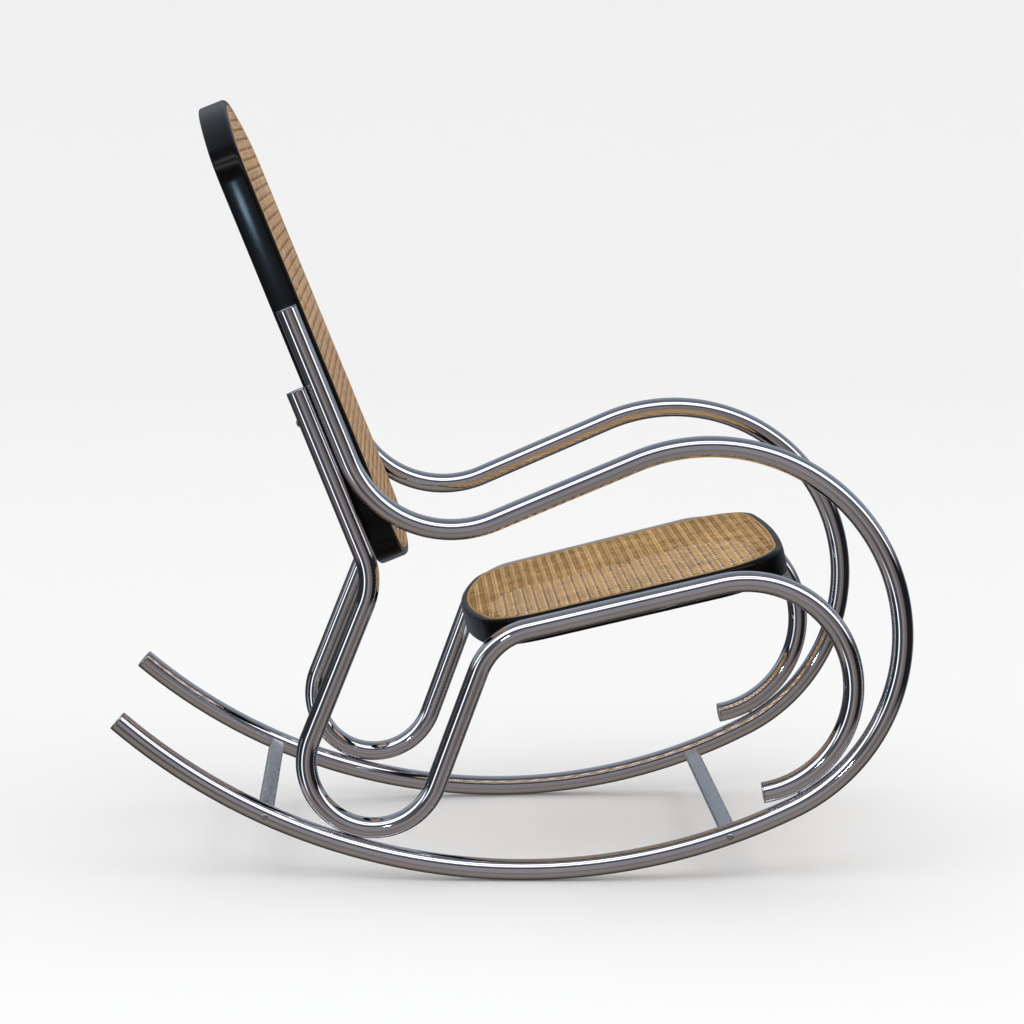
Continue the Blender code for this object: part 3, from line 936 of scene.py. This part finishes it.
# ----------------------------------------------------------------------- stage
def backdrop():
    """Round pale studio: a floor that curves up into a wall all round."""
    reach, bend, height, sides, steps = 8.0, 1.2, 3.2, 96, 16
    profile = [(0.4, 0.0), (2.0, 0.0), (reach - bend, 0.0)]
    for step in range(1, steps + 1):
        angle = math.radians(90 * step / steps)
        profile.append((reach - bend + bend * math.sin(angle), bend - bend * math.cos(angle)))
    profile.append((reach, height))
    bm = bmesh.new()
    loops = []
    for radius, z in profile:
        loop = []
        for index in range(sides):
            angle = 2 * math.pi * index / sides
            loop.append(bm.verts.new((radius * math.cos(angle), radius * math.sin(angle), z)))
        loops.append(loop)
    skin_loops(bm, loops)
    bm.faces.new(loops[0])
    mesh = mesh_from(bm, "backdrop", 60)
    sheet = bpy.data.objects.new("backdrop", mesh)
    mesh.materials.append(stage_material())
    bpy.context.collection.objects.link(sheet)
    sheet.visible_glossy = False


# What polished metal sees round the Y axis, by angle from straight out at -X:
# (degrees, colour). Negative angles are below the horizon.
ROOM = (
    (-180, (0.30, 0.30, 0.32)), (-168, (0.08, 0.062, 0.048)), (-118, (0.045, 0.036, 0.030)),
    (-98, (0.15, 0.13, 0.115)), (-66, (0.28, 0.25, 0.225)), (-42, (0.24, 0.21, 0.19)),
    (-27, (0.19, 0.165, 0.15)), (-10, (0.31, 0.29, 0.315)), (2, (0.33, 0.325, 0.375)),
    (17, (0.26, 0.26, 0.30)), (21, (0.03, 0.032, 0.04)), (28, (0.03, 0.032, 0.04)),
    (31, (0.24, 0.25, 0.28)), (40, (0.32, 0.33, 0.37)), (42, (3.0, 3.0, 3.0)),
    (47, (3.0, 3.0, 3.0)), (49, (0.22, 0.23, 0.27)), (57, (0.22, 0.23, 0.27)),
    (59, (2.6, 2.6, 2.7)), (65, (2.6, 2.6, 2.7)), (68, (0.18, 0.195, 0.23)),
    (92, (0.14, 0.17, 0.21)), (118, (0.24, 0.28, 0.34)), (150, (0.38, 0.42, 0.47)),
    (180, (0.42, 0.44, 0.47)),
)

# The walls near the horizon, by angle round Z from straight out at -X to +Y.
WALLS = (
    (-180, (0.20, 0.22, 0.26)), (-134, (0.16, 0.18, 0.21)), (-112, (0.015, 0.015, 0.018)),
    (-42, (0.015, 0.015, 0.018)), (-36, (0.15, 0.13, 0.12)), (-14, (0.19, 0.17, 0.16)),
    (-6, (0.29, 0.275, 0.295)), (6, (0.30, 0.285, 0.31)), (13, (0.10, 0.09, 0.088)),
    (38, (0.05, 0.047, 0.045)), (43, (1.5, 1.65, 1.8)), (50, (1.5, 1.65, 1.8)),
    (54, (0.03, 0.03, 0.036)), (104, (0.03, 0.03, 0.034)), (140, (0.05, 0.055, 0.07)),
    (180, (0.20, 0.22, 0.26)),
)

# The walls cover the directions within these heights of their middle line.
WALL_DROP = 0.10
WALL_FADE = (0.42, 0.26)


def studio_world():
    """Even white light; polished surfaces see a room with strip lights instead."""
    world = bpy.data.worlds.new("studio")
    bpy.context.scene.world = world
    world.use_nodes = True
    tree = world.node_tree

    def add(kind, links=None, **settings):
        node = tree.nodes.new(kind)
        for key, value in settings.items():
            setattr(node, key, value)
        for socket, source in (links or {}).items():
            tree.links.new(source, node.inputs[socket])
        return node

    def colours_round(opposite, stops):
        """Colours by the angle from straight out at -X towards the other axis."""
        angle = add("ShaderNodeMath", {0: opposite, 1: out.outputs[0]}, operation="ARCTAN2")
        place = add("ShaderNodeMapRange", {"Value": angle.outputs[0]})
        place.inputs["From Min"].default_value = -math.pi
        place.inputs["From Max"].default_value = math.pi
        ramp = add("ShaderNodeValToRGB", {"Fac": place.outputs["Result"]})
        points = ramp.color_ramp.elements
        while len(points) < len(stops):
            points.new(0.5)
        for point, (degrees, colour) in zip(points, stops):
            point.position = (degrees + 180) / 360
            point.color = (*colour, 1)
        return ramp.outputs["Color"]

    split = add("ShaderNodeSeparateXYZ", {0: add("ShaderNodeTexCoord").outputs["Generated"]})
    out = add("ShaderNodeMath", {0: split.outputs["X"]}, operation="MULTIPLY")
    out.inputs[1].default_value = -1
    low = add("ShaderNodeMath", {0: split.outputs["Z"]}, operation="ADD")
    low.inputs[1].default_value = WALL_DROP
    tilt = add("ShaderNodeMath", {0: low.outputs[0]}, operation="ABSOLUTE")
    level = add("ShaderNodeMapRange", {"Value": tilt.outputs[0]}, interpolation_type="SMOOTHSTEP")
    level.inputs["From Min"].default_value, level.inputs["From Max"].default_value = WALL_FADE
    room = colours_round(split.outputs["Z"], ROOM)
    walls = colours_round(split.outputs["Y"], WALLS)
    seen = add("ShaderNodeMix", {0: level.outputs["Result"], 6: room, 7: walls}, data_type="RGBA")
    path = add("ShaderNodeLightPath")
    mix = add("ShaderNodeMix", {0: path.outputs["Is Glossy Ray"], 7: seen.outputs[2]},
              data_type="RGBA")
    mix.inputs[6].default_value = (1.0, 1.0, 1.0, 1)
    tree.links.new(mix.outputs[2], tree.nodes["Background"].inputs["Color"])


def soft_light(name, place, aim, size, power, colour=(1, 1, 1), glossy=False):
    data = bpy.data.lights.new(name, "AREA")
    data.shape = "RECTANGLE"
    data.size, data.size_y = size
    data.energy = power
    data.color = colour
    lamp = bpy.data.objects.new(name, data)
    lamp.location = place
    lamp.rotation_euler = (Vector(aim) - Vector(place)).to_track_quat("-Z", "Y").to_euler()
    lamp.visible_camera = False
    lamp.visible_glossy = glossy
    bpy.context.collection.objects.link(lamp)


def camera():
    """Eye height, nearly square on to the chair's right side."""
    data = bpy.data.cameras.new("camera")
    data.lens = 108.98
    data.sensor_width = 36.0
    cam = bpy.data.objects.new("camera", data)
    cam.location = (-3.8793, ORIGIN_Y, 0.9213)
    yaw, pitch = math.radians(2.313), math.radians(7.407)
    level = Vector((math.cos(yaw), -math.sin(yaw), 0))
    forward = math.cos(pitch) * level - math.sin(pitch) * Vector((0, 0, 1))
    cam.rotation_euler = forward.to_track_quat("-Z", "Y").to_euler()
    bpy.context.collection.objects.link(cam)
    bpy.context.scene.camera = cam


def lights():
    """Two ceiling strips, a soft window, and the gleam on the back's edge."""
    sitter = (0, 0, 0.4)
    soft_light("ceiling_strip_high", (-1.70, 0.0, 3.0), sitter, (5.0, 0.26), 8)
    soft_light("ceiling_strip_low", (-2.55, 0.0, 3.0), sitter, (5.0, 0.16), 5)
    soft_light("window", (-2.6, 1.1, 2.8), (0.15, 0.3, 0.85), (0.5, 0.5), 3, (0.75, 0.88, 1.0))
    soft_light("gleam", (-3.17, 0.755, 0.73), (-0.206, 0.315, 0.811), (0.14, 0.12), 3,
               (0.50, 0.75, 1.0), True)


backdrop()
studio_world()
bpy.context.scene.view_settings.view_transform = "Standard"
lights()
camera()
